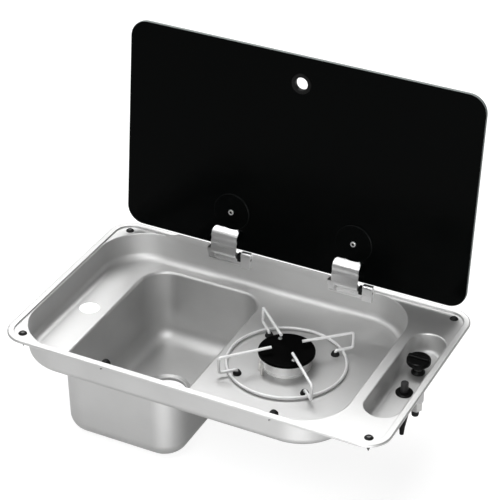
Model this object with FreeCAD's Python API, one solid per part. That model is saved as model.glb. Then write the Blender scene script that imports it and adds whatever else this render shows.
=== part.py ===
import FreeCAD, Part
import math
import os

# Drop-in hob and sink unit with a hinged glass lid. Millimetres.
# X runs left to right, Y front to back, Z up. The origin is the centre of the rim on the worktop plane.
V = FreeCAD.Vector
X_AXIS = V(1, 0, 0)
Y_AXIS = V(0, 1, 0)
Z_AXIS = V(0, 0, 1)

# Tray, pressed from sheet
sheet = 0.8
rim_length = 600.0
rim_width = 364.0
rim_corner = 36.0
rim_band = 10.0
rim_top = 4.0
rim_edge_round = 2.4
band_inner_round = 1.0
deck_top = 1.0
deck_strip = 1.6
control_deck = 82.0
recess_floor = -46.0
recess_corner = 74.0
recess_lip_round = 1.5
recess_bottom_round = 12.0
slot_from_right = 39.0
slot_half_width = 26.0
slot_from_front = 72.0
slot_from_back = 75.0
slot_floor = -31.0
slot_lip_round = 2.4
slot_bottom_round = 8.0
tap_from_left = 44.0
tap_hole_y = 2.0
tap_hole_r = 16.0

# Sink bowl
sink_from_left = 76.5
sink_to_burner = 102.0
sink_from_front = 33.0
sink_from_back = 36.5
sink_corner = 40.0
sink_lip_round = 4.5
collar_depth = 10.0
sink_floor = -165.5
sink_draft = 3.2
sink_bottom_round = 26.0
drain_left_of_middle = 6.25
drain_behind_middle = 18.25
drain_r = 30.0
drain_dish_r = 36.0
drain_dish_depth = 3.0
drain_lip = 4.0
bowl_split_gap = 6.0

# Seal, fixings and their rubber caps
seal_gap = 0.4
seal_inset = 2.5
fixing_from_end = 28.0
fixing_from_side = 23.0
front_fixing_from_end = 168.0
front_fixing_z = -5.0
fixing_shank_r = 2.0
fixing_hole_r = 2.3
fixing_head_r = 3.9
fixing_head = 1.6
fixing_length = 23.0
front_fixing_length = 9.0
cover_r = 6.5
cover_height = 3.4
cover_hole_r = 3.3

# Lid, set out closed and then swung open
lid_end_gap = 17.0
lid_side_gap = 25.5
lid_corner = 28.0
glass = 5.0
lid_under = 4.7
lid_to_hinge = 11.0
lid_open = 94.9
finger_from_front = 43.0
finger_hole_r = 10.0
finger_ring_r = 16.0
finger_ring_lip = 1.6
glass_hole_r = 13.0

# Hinges
hinge_corner_gap = 5.0
hinge_z = 1.04
pin_r = 2.0
pin_gap = 0.05
barrel_r = 3.6
strap_left = -27.5
strap_right = 15.5
strap_sheet = 2.0
strap_top = 33.4
strap_corner = 5.0
strap_out = 12.4
tongue_half = 12.0
tongue_top = 78.0
knuckle_left = -34.0
barrel_left = -23.1
stop_right = -23.5
stop_gap = 0.4
stop_reach = 6.8
stop_height = 8.0
tab_left = 22.0
tab_right = 37.5
tab_foot = 8.0
tab_top = 11.8
tab_round = 4.5
bracket_plate = 2.0
bracket_bottom = -14.0
bracket_shelf_top = -4.6
pad_up = 62.0
pad_r = 30.0
pad_thick = 3.0
clamp_screw_r = 3.0
clamp_head_r = 4.2
clamp_head = 2.4
clamp_socket = 4.6
clamp_socket_floor = 1.5
clamp_end = 2.0
clamp_hole_r = 5.0
cap_r = 20.0
cap_thick = 4.0
cap_round = 1.5

# Burner
burner_from_recess = 144.0
burner_y = 4.0
burner_hole_r = 30.5
cup_r = 30.0
cup_wall = 1.6
cup_flange_r = 37.0
cup_bottom = -66.0
gasket = 1.0
crown_r = 34.0
crown_wall = 5.0
crown_top = -24.5
crown_foot = 2.5
crown_foot_height = 3.0
port_count = 36
port_width = 2.2
port_height = 4.5
burner_cap_r = 42.0
burner_cap = 4.5
burner_cap_round = 1.4
cap_screw_circle = 29.2
cap_screw_r = 1.8
cap_screw_head_r = 3.0
cap_screw_head = 1.5
cap_screw_slot = 0.4
cap_screw_seat = 4.0
post_r = 4.2
tube_z = -57.0
tube_r = 8.0
tube_wall = 1.2
tube_length = 92.0
air_hole_length = 14.0
air_hole_from_end = 8.0
air_hole_half = 3.0
injector_r = 4.5
injector_length = 6.0
injector_thread_r = 2.5
injector_thread = 8.0
jet_r = 0.4
holder_inside = 5.0

# Pan support, bent from wire
wire_r = 2.25
ring_from_foot = 12.0
ring_z = -42.2
low_run_z = -38.5
top_run_z = -12.5
tip_z = -10.5
foot_radius = 76.0
leg_radius = 104.0
tip_radius = 24.0
bend_r = 4.0
foot_bottom = -51.0
grommet_r = 6.4
grommet_hole_r = 4.4
grommet_height = 5.2
grommet_top_r = 4.6
grommet_gap = 0.06
notch_gap = 0.3

# Ignition and flame sensing
electrode_left = 28.0
electrode_ahead = 31.0
electrode_r = 2.4
electrode_top = -33.0
electrode_bottom = -78.0
spark_z = -28.0
spark_r = 0.9
sensor_left = 20.0
sensor_ahead = 40.0
sensor_r = 2.2
sensor_top = -26.8
sensor_bottom = -84.0
clip_sheet = 1.2
pass_gap = 0.3

# Gas valve and knob
valve_left = 1.0
valve_from_back = 55.0
valve_r = 11.0
valve_port = 13.0
valve_bottom = -80.0
valve_flange = 3.0
valve_outlet_r = 6.5
valve_bore = 34.0
neck_r = 6.0
neck_hole_r = 6.3
neck_top = -25.0
sleeve_r = 4.6
stem_r = 3.2
stem_grip = 9.0
end_gap = 0.4
slide_gap = 0.05
knob_r = 17.3
knob_bottom = -21.5
knob_top = -6.0
knob_disc = 9.0
hub_r = 9.0
hub_gap = 0.4
grip_top = -2.5
grip_half = 3.6
grip_corner = 2.5
grip_round = 1.2
knob_push = 3.0
bezel_r = 10.2
valve_nut_across = 14.0
valve_nut_height = 3.0
bezel_in_r = 8.4
inlet_r = 5.0
inlet_wall = 1.5
inlet_bottom = -107.0
inlet_nut_across = 17.0
inlet_nut_length = 16.0
pipe_r = 4.0
pipe_wall = 1.0
pipe_bend = 12.0
pipe_run = 34.0
pipe_nut_across = 13.0
pipe_nut_length = 9.0
holder_length = 14.0

# Spark push button
piezo_to_valve = 54.5
piezo_flange_r = 12.8
piezo_flange = 2.8
piezo_body_r = 8.0
piezo_hole_r = 8.3
piezo_tail = -104.0
tail_r = 3.2
tail_neck_r = 4.2
tail_neck = 12.0
tail_taper = 34.0
piezo_nut_height = 5.0
button_r = 5.7
button_top = -13.0
button_push = 5.0
button_bore = 17.0

# Places that follow from the sizes above
recess_right = rim_length / 2 - control_deck
slot_centre_x = rim_length / 2 - slot_from_right
slot_front = slot_from_front - rim_width / 2
slot_back = rim_width / 2 - slot_from_back
tap_hole_x = tap_from_left - rim_length / 2
burner_x = recess_right - burner_from_recess
sink_left = sink_from_left - rim_length / 2
sink_right = burner_x - sink_to_burner
sink_front = sink_from_front - rim_width / 2
sink_back = rim_width / 2 - sink_from_back
drain_x = (sink_left + sink_right) / 2 - drain_left_of_middle
drain_y = (sink_front + sink_back) / 2 + drain_behind_middle
fixing_x = rim_length / 2 - fixing_from_end
fixing_y = rim_width / 2 - fixing_from_side
front_fixing_x = rim_length / 2 - front_fixing_from_end
lid_length = rim_length - 2 * lid_end_gap
lid_depth = rim_width - lid_side_gap
hinge_x = recess_right - recess_corner - hinge_corner_gap - tab_right
hinge_y = rim_width / 2 - rim_band - deck_strip - barrel_r
lid_rear = hinge_y - lid_to_hinge
ring_radius = foot_radius + ring_from_foot
electrode_x = burner_x - electrode_left
electrode_y = burner_y - electrode_ahead
sensor_x = burner_x - sensor_left
sensor_y = burner_y - sensor_ahead
valve_x = slot_centre_x - valve_left
valve_y = slot_back - valve_from_back
piezo_x = slot_centre_x
piezo_y = valve_y - piezo_to_valve


def rounded(rect, z):
    """Face of a rounded rectangle (x0, x1, y0, y1, corner radius) at height z."""
    x0, x1, y0, y1, r = rect
    k = r * (1.0 - math.sqrt(0.5))
    corners = [
        (V(x1 - r, y0, z), V(x1 - k, y0 + k, z), V(x1, y0 + r, z)),
        (V(x1, y1 - r, z), V(x1 - k, y1 - k, z), V(x1 - r, y1, z)),
        (V(x0 + r, y1, z), V(x0 + k, y1 - k, z), V(x0, y1 - r, z)),
        (V(x0, y0 + r, z), V(x0 + k, y0 + k, z), V(x0 + r, y0, z)),
    ]
    edges = []
    for i, (start, middle, end) in enumerate(corners):
        edges.append(Part.Arc(start, middle, end).toShape())
        following = corners[(i + 1) % 4][0]
        if end.distanceToPoint(following) > 1e-6:
            edges.append(Part.makeLine(end, following))
    return Part.Face(Part.Wire(edges))


def slab(rect, z0, z1):
    """Prism of a rounded rectangle between two heights."""
    return rounded(rect, z0).extrude(V(0, 0, z1 - z0))


def grow(rect, d):
    """The rounded rectangle offset outward by d."""
    x0, x1, y0, y1, r = rect
    return (x0 - d, x1 + d, y0 - d, y1 + d, r + d)


def edges_at(shape, z):
    """Edges of the shape that lie in the plane at height z."""
    found = []
    for edge in shape.Edges:
        box = edge.BoundBox
        if abs(box.ZMin - z) < 1e-4 and abs(box.ZMax - z) < 1e-4:
            found.append(edge)
    return found


def edges_within(shape, z, rect):
    """Edges at height z whose box lies inside the rectangle."""
    x0, x1, y0, y1 = rect[:4]
    found = []
    for edge in edges_at(shape, z):
        box = edge.BoundBox
        inside_x = box.XMin > x0 - 0.01 and box.XMax < x1 + 0.01
        inside_y = box.YMin > y0 - 0.01 and box.YMax < y1 + 0.01
        if inside_x and inside_y:
            found.append(edge)
    return found


def basin(rect, floor, top, bottom_round):
    """Prism with a rounded bottom edge."""
    block = slab(rect, floor, top)
    return block.makeFillet(bottom_round, edges_at(block, floor))


def disc(r, x, y, z0, z1):
    """Upright cylinder between two heights."""
    return Part.makeCylinder(r, z1 - z0, V(x, y, z0), Z_AXIS)


def tube(r_out, r_in, x, y, z0, z1):
    """Upright tube between two heights."""
    return disc(r_out, x, y, z0, z1).cut(disc(r_in, x, y, z0, z1))


def box(x0, x1, y0, y1, z0, z1):
    """Block between two corners."""
    return Part.makeBox(x1 - x0, y1 - y0, z1 - z0, V(x0, y0, z0))


def revolved(points, x, y):
    """Solid of revolution about an upright axis from (radius, height) points."""
    wire = Part.makePolygon([V(x + r, y, z) for r, z in points + points[:1]])
    return Part.Face(wire).revolve(V(x, y, 0), Z_AXIS, 360)


def hexagon(across, x, y, z0, z1):
    """Upright hexagonal prism."""
    r = across / math.sqrt(3.0)
    points = [V(x + r * math.cos(math.pi * i / 3), y + r * math.sin(math.pi * i / 3), z0) for i in range(7)]
    return Part.Face(Part.makePolygon(points)).extrude(V(0, 0, z1 - z0))


def along_x(r, x0, x1, y, z):
    """Cylinder along X."""
    return Part.makeCylinder(r, x1 - x0, V(x0, y, z), X_AXIS)


def bent(points, r_bend, r_wire):
    """Round wire through the points with rounded bends."""
    parts = []
    start = points[0]
    for i in range(1, len(points) - 1):
        before = (points[i - 1] - points[i]).normalize()
        after = (points[i + 1] - points[i]).normalize()
        angle = before.getAngle(after)
        back = r_bend / math.tan(angle / 2)
        first = points[i] + before * back
        last = points[i] + after * back
        inward = (before + after).normalize()
        middle = points[i] + inward * (r_bend / math.sin(angle / 2) - r_bend)
        parts.append(Part.makeLine(start, first))
        parts.append(Part.Arc(first, middle, last).toShape())
        start = last
    parts.append(Part.makeLine(start, points[-1]))
    path = Part.Wire(parts)
    heading = (points[1] - points[0]).normalize()
    profile = Part.Wire([Part.makeCircle(r_wire, points[0], heading)])
    return path.makePipeShell([profile], True, False)


def fused(shapes):
    """One solid from overlapping shapes."""
    whole = shapes[0]
    for shape in shapes[1:]:
        whole = whole.fuse(shape)
    return whole.removeSplitter()


def opened(shape):
    """A lid piece swung from the closed to the open position."""
    turned = shape.copy()
    turned.rotate(V(0, hinge_y, hinge_z), X_AXIS, -lid_open)
    return turned


def save(name, shape):
    """Write one node as STEP."""
    shape.exportStep("parts/" + name + ".step")


os.makedirs("parts", exist_ok=True)

# Outlines seen from above
rim = (-rim_length / 2, rim_length / 2, -rim_width / 2, rim_width / 2, rim_corner)
step = grow(rim, -rim_band)
recess = (step[0] + deck_strip, recess_right, step[2] + deck_strip, step[3] - deck_strip, recess_corner)
slot = (
    slot_centre_x - slot_half_width,
    slot_centre_x + slot_half_width,
    slot_front,
    slot_back,
    slot_half_width - 0.01,
)
sink = (sink_left, sink_right, sink_front, sink_back, sink_corner)
deck_under = deck_top - sheet
recess_under = recess_floor - sheet
slot_under = slot_floor - sheet
collar_bottom = recess_floor - collar_depth

# Tray: outside shell less the space above the sheet
rim_slab = slab(rim, deck_under, rim_top)
rim_slab = rim_slab.makeFillet(rim_edge_round, edges_at(rim_slab, rim_top))
into_rim = deck_under + sheet / 2
outside = rim_slab.fuse(basin(grow(recess, sheet), recess_under, into_rim, recess_bottom_round + sheet))
outside = outside.fuse(basin(grow(slot, sheet), slot_under, into_rim, slot_bottom_round + sheet))
outside = outside.removeSplitter()
outside = outside.makeFillet(recess_lip_round - sheet, edges_within(outside, deck_under, grow(recess, sheet)))
outside = outside.makeFillet(slot_lip_round - sheet, edges_within(outside, deck_under, grow(slot, sheet)))
outside = outside.fuse(slab(grow(sink, sheet), collar_bottom, recess_floor - 0.2))
outside = outside.removeSplitter()
outside = outside.makeFillet(sink_lip_round - sheet, edges_within(outside, recess_under, grow(sink, sheet)))
space = slab(step, deck_top, rim_top + 2)
space = space.fuse(basin(recess, recess_floor, deck_top, recess_bottom_round))
space = space.fuse(basin(slot, slot_floor, deck_top, slot_bottom_round))
space = space.removeSplitter()
space = space.makeFillet(recess_lip_round, edges_within(space, deck_top, recess))
space = space.makeFillet(slot_lip_round, edges_within(space, deck_top, slot))
space = space.fuse(slab(sink, collar_bottom - 1, recess_floor))
space = space.removeSplitter()
space = space.makeFillet(sink_lip_round, edges_within(space, recess_floor, sink))
under_band = slab(grow(rim, -sheet), deck_under - 1, rim_top - sheet)
under_band = under_band.makeFillet(rim_edge_round - sheet, edges_at(under_band, rim_top - sheet))
under_band = under_band.cut(slab(grow(step, sheet), deck_under - 2, rim_top))
tray = outside.cut(space).cut(under_band)
tray = tray.makeFillet(band_inner_round, edges_within(tray, rim_top, step))
tray = tray.cut(disc(tap_hole_r, tap_hole_x, tap_hole_y, recess_under - 1, recess_floor + 1))
tray = tray.cut(disc(burner_hole_r, burner_x, burner_y, recess_under - 1, recess_floor + 1))
tray = tray.cut(disc(neck_hole_r, valve_x, valve_y, slot_under - 1, slot_floor + 1))
tray = tray.cut(disc(piezo_hole_r, piezo_x, piezo_y, slot_under - 1, slot_floor + 1))
tray = tray.cut(disc(electrode_r + pass_gap, electrode_x, electrode_y, recess_under - 1, recess_floor + 1))
tray = tray.cut(disc(sensor_r + pass_gap, sensor_x, sensor_y, recess_under - 1, recess_floor + 1))
feet = []
for i in range(4):
    turn = math.radians(45 + 90 * i)
    feet.append((burner_x + foot_radius * math.cos(turn), burner_y + foot_radius * math.sin(turn), turn))
for x, y, turn in feet:
    tray = tray.cut(disc(grommet_hole_r, x, y, recess_under - 1, recess_floor + 1))
corners = [(-fixing_x, -fixing_y), (fixing_x, -fixing_y), (fixing_x, fixing_y), (-fixing_x, fixing_y)]
for x, y in corners:
    tray = tray.cut(disc(fixing_hole_r, x, y, deck_under - 1, deck_top + 1))
front_wall = recess[2]
for x in (-front_fixing_x, front_fixing_x):
    tray = tray.cut(Part.makeCylinder(fixing_hole_r, 4, V(x, front_wall - 2, front_fixing_z), Y_AXIS))

# The pressing is saved in lengths that meet edge to edge, each simple enough for collision to follow
lip_edge = sink_lip_round + 1
sink_middle = (sink_front + sink_back) / 2
deck_middle = (recess_right + slot[0]) / 2
slot_middle = (valve_y + piezo_y) / 2
left_line = sink_left - lip_edge
hob_line = sink_right + lip_edge
front_edge = rim[2] - 1
back_edge = rim[3] + 1
lengths = {
    "tray_left": (rim[0] - 1, left_line, front_edge, back_edge),
    "tray_sink_front": (left_line, hob_line, front_edge, sink_middle),
    "tray_sink_back": (left_line, hob_line, sink_middle, back_edge),
    "tray_hob_front": (hob_line, deck_middle, front_edge, burner_y),
    "tray_hob_back": (hob_line, deck_middle, burner_y, back_edge),
    "tray_controls_front": (deck_middle, rim[1] + 1, front_edge, slot_middle),
    "tray_controls_back": (deck_middle, rim[1] + 1, slot_middle, back_edge),
}
for name, (x0, x1, y0, y1) in lengths.items():
    save(name, tray.common(box(x0, x1, y0, y1, collar_bottom - 1, rim_top + 1)))

# Sink bowl, welded to the collar under the tray
sink_low = grow(sink, -sink_draft)
bowl_out = Part.makeLoft(
    [
        rounded(grow(sink, sheet), collar_bottom).OuterWire,
        rounded(grow(sink_low, sheet), sink_floor - sheet).OuterWire,
    ],
    True,
    True,
)
bowl_out = bowl_out.makeFillet(sink_bottom_round + sheet, edges_at(bowl_out, sink_floor - sheet))
bowl_in = Part.makeLoft(
    [rounded(sink, collar_bottom).OuterWire, rounded(sink_low, sink_floor).OuterWire],
    True,
    True,
)
bowl_in = bowl_in.makeFillet(sink_bottom_round, edges_at(bowl_in, sink_floor))
dish_floor = sink_floor - drain_dish_depth
dish_in = [
    (0, sink_floor + 0.5),
    (drain_dish_r, sink_floor + 0.5),
    (drain_dish_r, sink_floor),
    (drain_r + 2.5, dish_floor),
    (0, dish_floor),
]
dish_out = [
    (0, sink_floor - sheet / 2),
    (drain_dish_r + 0.6, sink_floor - sheet / 2),
    (drain_dish_r + 0.6, sink_floor - sheet),
    (drain_r + 2.7, dish_floor - sheet),
    (drain_r + sheet, dish_floor - sheet),
    (drain_r + sheet, dish_floor - drain_lip),
    (0, dish_floor - drain_lip),
]
sink_bowl = bowl_out.fuse(revolved(dish_out, drain_x, drain_y))
sink_bowl = sink_bowl.cut(bowl_in).cut(revolved(dish_in, drain_x, drain_y))
sink_bowl = sink_bowl.cut(disc(drain_r, drain_x, drain_y, dish_floor - drain_lip - 1, sink_floor))
bowl_split = drain_y - drain_dish_r - bowl_split_gap
bowl_low = dish_floor - drain_lip - 1
bowl_front = box(sink[0] - 2, sink[1] + 2, sink[2] - 2, bowl_split, bowl_low, collar_bottom)
bowl_back = box(sink[0] - 2, sink[1] + 2, bowl_split, sink[3] + 2, bowl_low, collar_bottom)
save("sink_bowl_front", sink_bowl.common(bowl_front))
save("sink_bowl_back", sink_bowl.common(bowl_back))

# Foam seal under the band
rim_seal = slab(grow(rim, -seal_inset), 0, rim_top - sheet)
rim_seal = rim_seal.cut(slab(grow(step, sheet + seal_gap), -1, rim_top))
save("rim_seal", rim_seal)

# Fixing screws and the rubber caps over them, made upright and set in place


def make_fixing(length):
    """Upright fixing screw with its head on the plane at zero."""
    points = [
        (0, -length),
        (fixing_shank_r, -length + 5),
        (fixing_shank_r, 0),
        (fixing_head_r, 0),
        (fixing_head_r, fixing_head - 0.5),
        (fixing_head_r - 1, fixing_head),
        (0, fixing_head),
    ]
    return revolved(points, 0, 0)


fixing_screw = make_fixing(fixing_length)
front_screw = make_fixing(front_fixing_length)
dome = Part.makeSphere((cover_r**2 + cover_height**2) / (2 * cover_height))
dome.translate(V(0, 0, cover_height - (cover_r**2 + cover_height**2) / (2 * cover_height)))
cover = dome.common(disc(cover_r, 0, 0, 0, cover_height + 1))
cover = cover.cut(fixing_screw).cut(disc(cover_hole_r, 0, 0, 0, cover_height + 1))
screws = []
covers = []
for x, y in corners:
    for source, pieces in ((fixing_screw, screws), (cover, covers)):
        piece = source.copy()
        piece.translate(V(x, y, deck_top))
        pieces.append(piece)
for x in (-front_fixing_x, front_fixing_x):
    for source, pieces in ((front_screw, screws), (cover, covers)):
        piece = source.copy()
        piece.rotate(V(0, 0, 0), X_AXIS, -90)
        piece.translate(V(x, front_wall, front_fixing_z))
        pieces.append(piece)
save("fixing_screws", Part.makeCompound(screws))
save("fixing_caps", Part.makeCompound(covers))

# Lid glass with its holes
lid_front = lid_rear - lid_depth
lid_top = lid_under + glass
finger_y = lid_front + finger_from_front
clamp_y = lid_rear - pad_up
lid_rect = (-lid_length / 2, lid_length / 2, lid_front, lid_rear, lid_corner)
lid_glass = slab(lid_rect, lid_under, lid_top)
lid_glass = lid_glass.makeChamfer(0.6, edges_at(lid_glass, lid_under) + edges_at(lid_glass, lid_top))
lid_glass = lid_glass.cut(disc(glass_hole_r, 0, finger_y, lid_under - 1, lid_top + 1))
for x in (-hinge_x, hinge_x):
    lid_glass = lid_glass.cut(disc(clamp_hole_r, x, clamp_y, lid_under - 1, lid_top + 1))
save("lid_glass", opened(lid_glass))

# Finger ring in two halves that grip the glass
ring_upper = [
    (finger_hole_r, lid_under + 1),
    (glass_hole_r, lid_under + 1),
    (glass_hole_r, lid_top),
    (finger_ring_r, lid_top),
    (finger_ring_r - 0.8, lid_top + finger_ring_lip),
    (finger_hole_r + 1, lid_top + finger_ring_lip),
    (finger_hole_r, lid_top + finger_ring_lip - 1),
]
ring_lower = [
    (finger_hole_r, lid_under + 1),
    (finger_hole_r, lid_under - finger_ring_lip + 1),
    (finger_hole_r + 1, lid_under - finger_ring_lip),
    (finger_ring_r - 0.8, lid_under - finger_ring_lip),
    (finger_ring_r, lid_under),
    (glass_hole_r, lid_under),
    (glass_hole_r, lid_under + 1),
]
save("finger_ring_top", opened(revolved(ring_upper, 0, finger_y)))
save("finger_ring_bottom", opened(revolved(ring_lower, 0, finger_y)))

# Hinge strap: a bent band from the barrel to the glass, then a tongue under the pad
band_points = [
    (-11, 5.4),
    (-10.9, 7.6),
    (-9.6, 10.2),
    (-7, 11.9),
    (-3, strap_out),
    (2, strap_out),
    (7, strap_out),
    (10.4, 12.0),
    (13, 10.9),
    (16, 10.6),
    (19.6, 11.6),
    (23, 11.5),
    (26.6, 9.3),
    (30, 5.2),
    (33.6, 1.0),
]
curve = Part.BSplineCurve()
curve.interpolate([V(0, lid_rear - up, lid_under - out) for up, out in band_points])
near = []
far = []
for i in range(61):
    at = curve.FirstParameter + (curve.LastParameter - curve.FirstParameter) * i / 60
    run = curve.tangent(at)[0]
    across = V(0, -run.z, run.y) * (strap_sheet / 2)
    near.append(curve.value(at) + across)
    far.append(curve.value(at) - across)
near_curve = Part.BSplineCurve()
near_curve.interpolate(near)
far_curve = Part.BSplineCurve()
far_curve.interpolate(far)
band_edges = [
    near_curve.toShape(),
    Part.makeLine(near[-1], far[-1]),
    far_curve.toShape(),
    Part.makeLine(far[0], near[0]),
]
band_face = Part.Face(Part.Wire(Part.__sortEdges__(band_edges)))


def make_strap(x):
    """Hinge strap for the hinge at x, closed."""
    band = band_face.extrude(V(strap_right - strap_left, 0, 0))
    band.translate(V(x + strap_left, 0, 0))
    outline = (x + strap_left, x + strap_right, lid_rear - strap_top, lid_rear + 60, strap_corner)
    below_glass = slab(outline, lid_under - 60, lid_under)
    barrel = along_x(barrel_r, x + barrel_left, x + strap_right, hinge_y, hinge_z)
    stop_face = hinge_y - barrel_r - stop_gap
    near_stop = box(x + strap_left - 1, x + barrel_left, stop_face, stop_face + 30, -30, 30)
    tongue = box(
        x - tongue_half,
        x + tongue_half,
        lid_rear - tongue_top,
        lid_rear - 31,
        lid_under - strap_sheet,
        lid_under,
    )
    strap = fused([band.common(below_glass).cut(near_stop), barrel, tongue])
    strap = strap.cut(along_x(pin_r + pin_gap, x + strap_left - 1, x + strap_right + 1, hinge_y, hinge_z))
    return strap.cut(disc(clamp_screw_r, x, clamp_y, lid_under - 20, lid_under + 1))


def make_pad(x, strap):
    """Round pad that covers the strap's tongue."""
    pad = disc(pad_r, x, clamp_y, lid_under - pad_thick, lid_under)
    pad = pad.makeFillet(cap_round, edges_at(pad, lid_under - pad_thick))
    pad = pad.cut(strap)
    pad = pad.cut(disc(clamp_screw_r, x, clamp_y, lid_under - 20, lid_under + 1))
    return max(pad.Solids, key=lambda piece: piece.Volume)


def make_clamp_screw(x):
    """Screw from inside through pad, tongue and glass, with a hexagon socket."""
    head_low = lid_under - pad_thick
    head_end = head_low - clamp_head
    head = disc(clamp_head_r, x, clamp_y, head_end, head_low)
    head = head.makeFillet(0.6, edges_at(head, head_end))
    screw = head.fuse(disc(clamp_screw_r, x, clamp_y, head_low, lid_top + clamp_end)).removeSplitter()
    return screw.cut(hexagon(clamp_socket, x, clamp_y, head_end - 1, head_low + clamp_socket_floor))


def make_cap(x, screw):
    """Outer cap with a boss that fills the glass hole and takes the screw."""
    cap = disc(cap_r, x, clamp_y, lid_top, lid_top + cap_thick)
    cap = cap.makeFillet(cap_round, edges_at(cap, lid_top + cap_thick))
    cap = cap.fuse(disc(clamp_hole_r, x, clamp_y, lid_under, lid_top)).removeSplitter()
    return cap.cut(screw)


pads = []
clamp_screws = []
caps = []
for side, x in (("left", -hinge_x), ("right", hinge_x)):
    strap = make_strap(x)
    clamp_screw = make_clamp_screw(x)
    save("hinge_strap_" + side, opened(strap))
    pads.append(opened(make_pad(x, strap)))
    clamp_screws.append(opened(clamp_screw))
    caps.append(opened(make_cap(x, clamp_screw)))
save("hinge_pads", Part.makeCompound(pads))
save("hinge_screws", Part.makeCompound(clamp_screws))
save("hinge_caps", Part.makeCompound(caps))

# Hinge brackets on the rear wall, each with two knuckles, a stop arm and a tall tab
rear_wall = recess[3]


def make_bracket(x):
    """Bracket for the hinge at x."""
    plate = box(
        x + knuckle_left,
        x + tab_right,
        rear_wall - bracket_plate,
        rear_wall,
        bracket_bottom,
        bracket_shelf_top,
    )
    lip = box(
        x + knuckle_left,
        x + tab_right,
        rear_wall - bracket_plate - 2,
        rear_wall - bracket_plate,
        bracket_bottom,
        bracket_bottom + 2,
    )
    left_web = box(
        x + knuckle_left,
        x + stop_right,
        hinge_y - barrel_r,
        rear_wall,
        bracket_shelf_top - 4,
        hinge_z,
    )
    left_knuckle = along_x(barrel_r, x + knuckle_left, x + stop_right, hinge_y, hinge_z)
    stop_arm = box(
        x + knuckle_left,
        x + stop_right,
        hinge_y - stop_reach,
        rear_wall - 0.1,
        hinge_z,
        hinge_z + stop_height,
    )
    tab = box(x + tab_left, x + tab_right, rear_wall - tab_foot, rear_wall - 0.1, bracket_bottom, tab_top)
    front_top = [edge for edge in edges_at(tab, tab_top) if edge.BoundBox.YMax < rear_wall - tab_foot + 0.01]
    tab = tab.makeFillet(tab_round, front_top)
    tab_web = box(x + tab_left, x + tab_right, rear_wall - 1, rear_wall, bracket_bottom, bracket_shelf_top)
    bracket = fused([plate, lip, left_web, left_knuckle, stop_arm, tab, tab_web])
    return bracket.cut(along_x(pin_r, x + knuckle_left - 1, x + tab_right + 1, hinge_y, hinge_z))


for side, x in (("left", -hinge_x), ("right", hinge_x)):
    save("hinge_bracket_" + side, make_bracket(x))
    save("hinge_pin_" + side, along_x(pin_r, x + knuckle_left, x + tab_right, hinge_y, hinge_z))

# Pan support: four bent fingers welded to a ring, with feet in rubber grommets
fingers = []
grommets = []
for x, y, turn in feet:
    out = V(math.cos(turn), math.sin(turn), 0)
    centre = V(burner_x, burner_y, 0)
    path = [
        centre + out * foot_radius + V(0, 0, foot_bottom),
        centre + out * foot_radius + V(0, 0, low_run_z),
        centre + out * leg_radius + V(0, 0, low_run_z),
        centre + out * leg_radius + V(0, 0, top_run_z),
        centre + out * tip_radius + V(0, 0, tip_z),
    ]
    fingers.append(bent(path, bend_r, wire_r))
    grommet_points = [
        (wire_r + grommet_gap, recess_under - 2),
        (grommet_r - 0.8, recess_under - 2),
        (grommet_r - 0.4, recess_under),
        (grommet_hole_r, recess_under),
        (grommet_hole_r, recess_floor),
        (grommet_r, recess_floor),
        (grommet_r, recess_floor + 1.6),
        (grommet_top_r, recess_floor + grommet_height),
        (wire_r + grommet_gap, recess_floor + grommet_height),
    ]
    half_notch = wire_r + notch_gap
    notch_bottom = low_run_z - bend_r - notch_gap
    notch = box(0, grommet_r + 1, -half_notch, half_notch, notch_bottom, recess_floor + grommet_height + 1)
    notch.rotate(V(0, 0, 0), Z_AXIS, math.degrees(turn))
    notch.translate(V(x, y, 0))
    grommets.append(revolved(grommet_points, x, y).cut(notch))
pan_ring = Part.makeTorus(ring_radius, wire_r, V(burner_x, burner_y, ring_z), Z_AXIS)
for finger in fingers:
    pan_ring = pan_ring.cut(finger)
save("pan_support_ring", pan_ring)
save("pan_support_fingers", Part.makeCompound(fingers))
save("grommets", Part.makeCompound(grommets))

# Burner cup under the floor with its mixing tube
flange_top = recess_under - gasket
cup_in_r = cup_r - cup_wall
tube_end = burner_x + tube_length
cup_out = disc(cup_r, burner_x, burner_y, cup_bottom, recess_floor)
cup_out = cup_out.fuse(disc(cup_flange_r, burner_x, burner_y, flange_top - 2, flange_top))
cup_out = cup_out.fuse(along_x(tube_r, burner_x, tube_end, burner_y, tube_z))
tube_bore = along_x(tube_r - tube_wall, burner_x, tube_end + 1, burner_y, tube_z)
cup = cup_out.cut(disc(cup_in_r, burner_x, burner_y, cup_bottom + cup_wall, recess_floor + 1)).cut(tube_bore)
for side in (-1, 1):
    air_hole = box(
        tube_end - air_hole_from_end - air_hole_length,
        tube_end - air_hole_from_end,
        burner_y + side * tube_r - tube_r / 2,
        burner_y + side * tube_r + tube_r / 2,
        tube_z - air_hole_half,
        tube_z + air_hole_half,
    )
    cup = cup.cut(air_hole)
posts = []
for sign in (-1, 1):
    offset = cap_screw_circle * math.sqrt(0.5) * sign
    posts.append((burner_x + offset, burner_y - offset))
save("burner_cup", cup.removeSplitter())
burner_gasket = tube(cup_flange_r, burner_hole_r, burner_x, burner_y, flange_top, recess_under)
save("burner_gasket", burner_gasket)

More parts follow.
